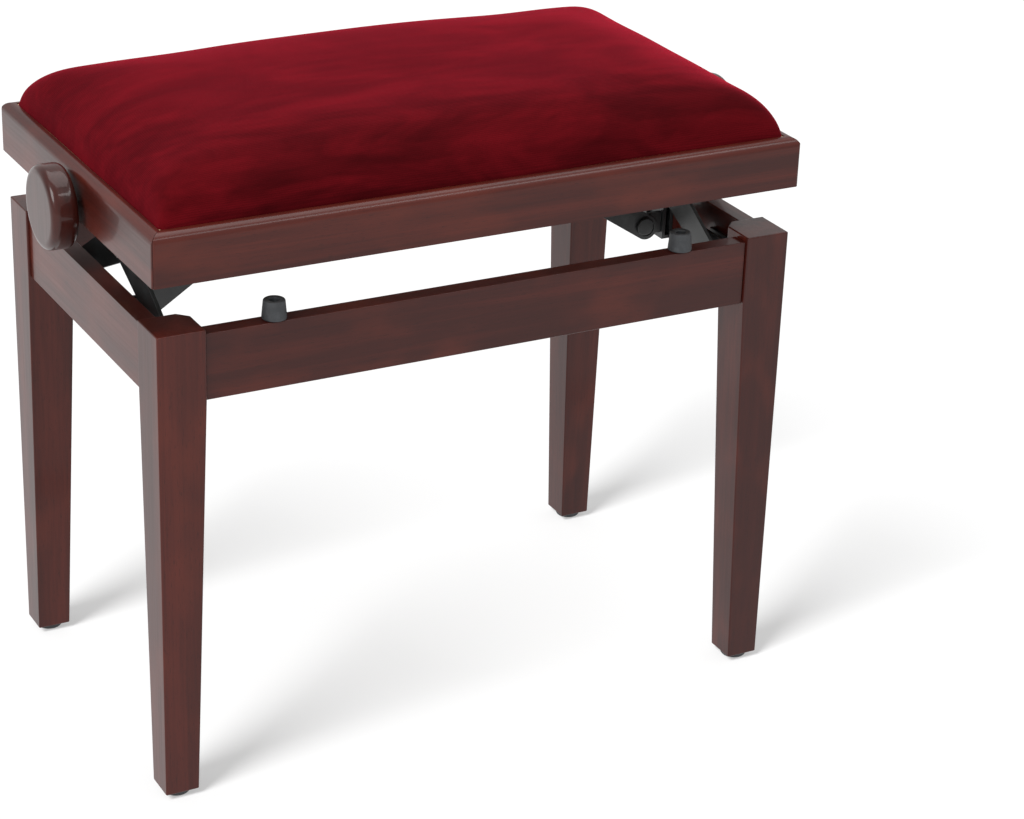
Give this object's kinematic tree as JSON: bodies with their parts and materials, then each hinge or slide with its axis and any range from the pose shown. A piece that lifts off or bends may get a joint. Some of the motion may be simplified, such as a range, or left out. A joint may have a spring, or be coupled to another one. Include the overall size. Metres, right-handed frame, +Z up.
{
  "type": "piano bench",
  "caption": "Height-adjustable piano bench: dark red cushion in a mahogany frame on tapered legs, with a steel scissor lift turned by side knobs.",
  "frame": {"origin": "on the floor, under the middle of the bench", "axes": "+Z up, +X along the seat's length, -Y the front, where a player's legs hang"},
  "size_m": [0.604, 0.328, 0.5166],
  "materials": {
    "mahogany": "polished gloss lacquer",
    "plywood": "raw sanded",
    "velvet": "fine ribbed velvet",
    "rubber": "matte",
    "black_steel": "satin black paint",
    "zinc_steel": "zinc plated"
  },
  "bodies": {
    "base": {"leg_front_left": "mahogany", "leg_front_right": "mahogany", "leg_back_left": "mahogany", "leg_back_right": "mahogany", "foot_glide_front_left": "rubber", "foot_glide_front_right": "rubber", "foot_glide_back_left": "rubber", "foot_glide_back_right": "rubber", "apron_front": "mahogany", "apron_back": "mahogany", "apron_left": "mahogany", "apron_right": "mahogany", "bumper_front_left": "rubber", "bumper_front_right": "rubber", "bumper_back_left": "rubber", "bumper_back_right": "rubber", "base_hinge_bracket_left": "black_steel", "base_hinge_bracket_right": "black_steel", "base_slide_bracket_left": "black_steel", "base_slide_bracket_right": "black_steel", "slide_bracket_bolt_left": "black_steel", "slide_bracket_bolt_right": "black_steel", "link_anchor_left": "black_steel", "link_anchor_right": "black_steel", "anchor_bolt_left": "black_steel", "anchor_bolt_right": "black_steel"},
    "seat": {"seat_rail_front": "mahogany", "seat_rail_back": "mahogany", "seat_rail_left": "mahogany", "seat_rail_right": "mahogany", "seat_board": "plywood", "cushion": "velvet", "seat_bracket_left": "black_steel", "seat_bracket_right": "black_steel", "seat_pivot_bolt_left": "zinc_steel", "seat_pivot_bolt_right": "zinc_steel", "spindle_bearing_left": "black_steel", "spindle_bearing_right": "black_steel"},
    "outer_frame": {"outer_arm_left": "black_steel", "outer_arm_right": "black_steel", "outer_cross_plate": "black_steel", "seat_slide_rod": "zinc_steel", "base_pivot_bolt_left": "zinc_steel", "base_pivot_bolt_right": "zinc_steel", "centre_bolt_left": "zinc_steel", "centre_bolt_right": "zinc_steel"},
    "inner_frame": {"inner_arm_left": "black_steel", "inner_arm_right": "black_steel", "inner_cross_plate": "black_steel", "base_slide_rod": "zinc_steel"},
    "spindle_with_knobs": {"spindle": "zinc_steel", "knob_left": "mahogany", "knob_right": "mahogany"},
    "nut_left": {"spindle_nut_left": "zinc_steel", "link_pin_left": "zinc_steel"},
    "nut_right": {"spindle_nut_right": "zinc_steel", "link_pin_right": "zinc_steel"},
    "link_left": {"toggle_link_left": "black_steel"},
    "link_right": {"toggle_link_right": "black_steel"}
  },
  "joints": [
    {"name": "seat_lift", "type": "slide", "parent": "base", "child": "seat", "axis": [0, 0, 1], "range_m": [-0.0275, 0.0525]},
    {"name": "outer_frame_hinge", "type": "hinge", "parent": "base", "child": "outer_frame", "pos_m": [0, -0.103, 0.353], "axis": [1, 0, 0], "range_deg": [-8.2, 15.63]},
    {"name": "inner_frame_hinge", "type": "hinge", "parent": "outer_frame", "child": "inner_frame", "pos_m": [0, -0.00265, 0.40044], "axis": [1, 0, 0], "range_deg": [-31.25, 16.4]},
    {"name": "spindle_turn", "type": "hinge", "parent": "seat", "child": "spindle_with_knobs", "pos_m": [0, 0, 0.441], "axis": [1, 0, 0], "range_deg": [-1319, 2517]},
    {"name": "nut_left_slide", "type": "slide", "parent": "seat", "child": "nut_left", "axis": [-1, 0, 0], "range_m": [-0.022, 0.042]},
    {"name": "nut_right_slide", "type": "slide", "parent": "seat", "child": "nut_right", "axis": [1, 0, 0], "range_m": [-0.022, 0.042]},
    {"name": "link_left_swing", "type": "hinge", "parent": "nut_left", "child": "link_left", "pos_m": [-0.0892, 0, 0.441], "axis": [0, 1, 0], "range_deg": [-23.2, 12.16]},
    {"name": "link_right_swing", "type": "hinge", "parent": "nut_right", "child": "link_right", "pos_m": [0.0892, 0, 0.441], "axis": [0, 1, 0], "range_deg": [-12.16, 23.2]}
  ],
  "couplings": [
    {"joint": "outer_frame_hinge", "follows": "seat_lift", "rad_per_m": 5.185},
    {"joint": "inner_frame_hinge", "follows": "seat_lift", "rad_per_m": -10.37},
    {"joint": "spindle_turn", "follows": "seat_lift", "rad_per_m": 836.5},
    {"joint": "nut_left_slide", "follows": "seat_lift", "ratio": 0.7988},
    {"joint": "nut_right_slide", "follows": "seat_lift", "ratio": 0.7988},
    {"joint": "link_left_swing", "follows": "seat_lift", "rad_per_m": -7.704},
    {"joint": "link_right_swing", "follows": "seat_lift", "rad_per_m": 7.704}
  ]
}
